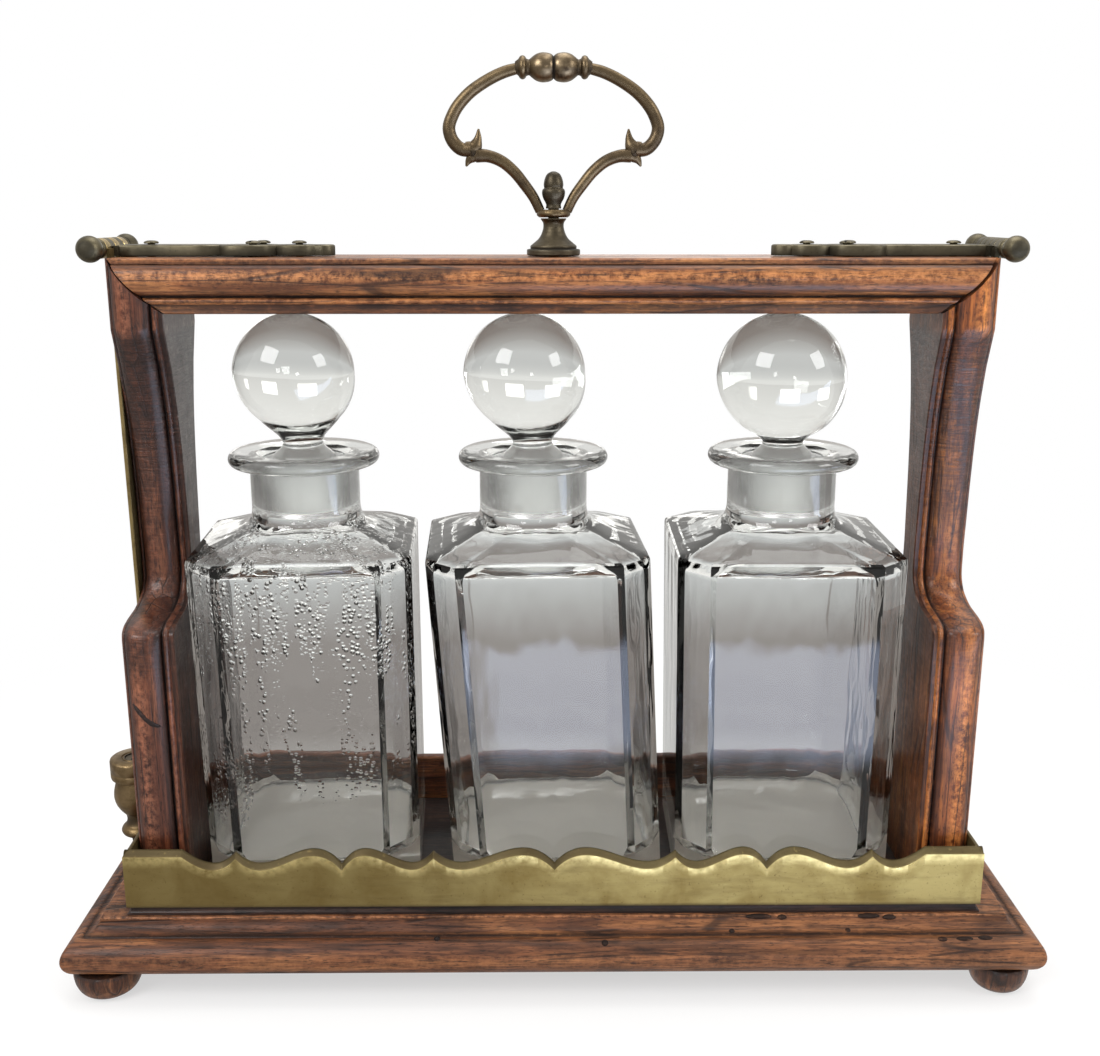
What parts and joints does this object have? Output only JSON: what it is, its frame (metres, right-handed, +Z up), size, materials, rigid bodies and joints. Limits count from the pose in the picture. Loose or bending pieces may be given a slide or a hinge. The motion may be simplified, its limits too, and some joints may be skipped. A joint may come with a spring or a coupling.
{
  "type": "tantalus",
  "caption": "Oak spirit stand with square glass decanters and ball stoppers, held by a hinged top bar with a carrying handle and a drop lock.",
  "frame": {"origin": "on the surface the feet stand on, under the middle of the base", "axes": "+X to the right seen from the front, where the bar hinge is; -Y is the front, with the scalloped plate; +Z up"},
  "size_m": [0.352, 0.1174, 0.3291],
  "materials": {
    "oak_base": "worn wax",
    "oak_foot": "worn wax",
    "oak_dark": "dull",
    "oak_left": "worn wax",
    "oak_right": "worn wax",
    "oak_bar": "worn wax",
    "brass_plate": "tarnished satin",
    "brass_handle": "aged",
    "brass_dull": "dull",
    "brass_lock": "aged",
    "steel_dark": "dark",
    "glass_clear": "clear",
    "glass_cut": "clear"
  },
  "bodies": {
    "frame": {"base_board": "oak_base", "foot_front_left": "oak_foot", "foot_front_right": "oak_foot", "foot_rear_left": "oak_foot", "foot_rear_right": "oak_foot", "plinth": "oak_dark", "gallery": "brass_plate", "back_rail": "oak_right", "left_upright": "oak_left", "right_upright": "oak_right", "hinge_leaf": "brass_dull", "hinge_leaf_screw_1": "brass_dull", "hinge_leaf_screw_2": "brass_dull", "hinge_leaf_screw_3": "brass_dull", "hinge_leaf_screw_4": "brass_dull", "hinge_pin": "brass_dull", "lock_staple": "steel_dark"},
    "bar": {"top_bar": "oak_bar", "handle_post": "brass_handle", "acorn_nut": "brass_handle", "hinge_strap": "brass_dull", "hinge_strap_screw_1": "brass_dull", "hinge_strap_screw_2": "brass_dull", "hinge_strap_screw_3": "brass_dull", "hinge_strap_screw_4": "brass_dull", "hasp_strap": "brass_dull", "hasp_strap_screw_1": "brass_dull", "hasp_strap_screw_2": "brass_dull", "hasp_strap_screw_3": "brass_dull", "hasp_strap_screw_4": "brass_dull", "hasp_pin": "brass_dull"},
    "handle": {"handle": "brass_handle"},
    "hasp": {"hasp_arm": "brass_dull", "lock_case": "brass_lock"},
    "lock_plug": {"lock_plug": "steel_dark"},
    "left_decanter": {"decanter_left": "glass_clear"},
    "middle_decanter": {"decanter_middle": "glass_clear"},
    "right_decanter": {"decanter_right": "glass_clear"},
    "left_stopper": {"stopper_left": "glass_cut"},
    "middle_stopper": {"stopper_middle": "glass_cut"},
    "right_stopper": {"stopper_right": "glass_cut"}
  },
  "joints": [
    {"name": "bar_hinge", "type": "hinge", "parent": "frame", "child": "bar", "pos_m": [0.15652, 0, 0.2642], "axis": [0, 1, 0], "range_deg": [0, 95]},
    {"name": "hasp_hinge", "type": "hinge", "parent": "bar", "child": "hasp", "pos_m": [-0.15652, 0, 0.2642], "axis": [0, 1, 0], "range_deg": [0, 110]},
    {"name": "lock_turn", "type": "hinge", "parent": "hasp", "child": "lock_plug", "pos_m": [-0.1631, 0, 0.066], "axis": [0, 0, 1], "range_deg": [0, 90]},
    {"name": "handle_swivel", "type": "hinge", "parent": "bar", "child": "handle", "pos_m": [0, 0, 0.2757], "axis": [0, 0, 1], "continuous": true},
    {"name": "left_decanter_lift", "type": "slide", "parent": "frame", "child": "left_decanter", "axis": [0, 0, 1], "range_m": [0, 0.0005]},
    {"name": "middle_decanter_lift", "type": "slide", "parent": "frame", "child": "middle_decanter", "axis": [0, 0, 1], "range_m": [0, 0.0005]},
    {"name": "right_decanter_lift", "type": "slide", "parent": "frame", "child": "right_decanter", "axis": [0, 0, 1], "range_m": [0, 0.0005]},
    {"name": "left_stopper_turn", "type": "hinge", "parent": "left_decanter", "child": "left_stopper", "pos_m": [-0.09131, 0, 0.18], "axis": [0, 0, 1], "continuous": true},
    {"name": "middle_stopper_turn", "type": "hinge", "parent": "middle_decanter", "child": "middle_stopper", "pos_m": [-0.0074, 0, 0.18], "axis": [0, 0, 1], "continuous": true},
    {"name": "right_stopper_turn", "type": "hinge", "parent": "right_decanter", "child": "right_stopper", "pos_m": [0.08425, 0, 0.18], "axis": [0, 0, 1], "continuous": true}
  ]
}
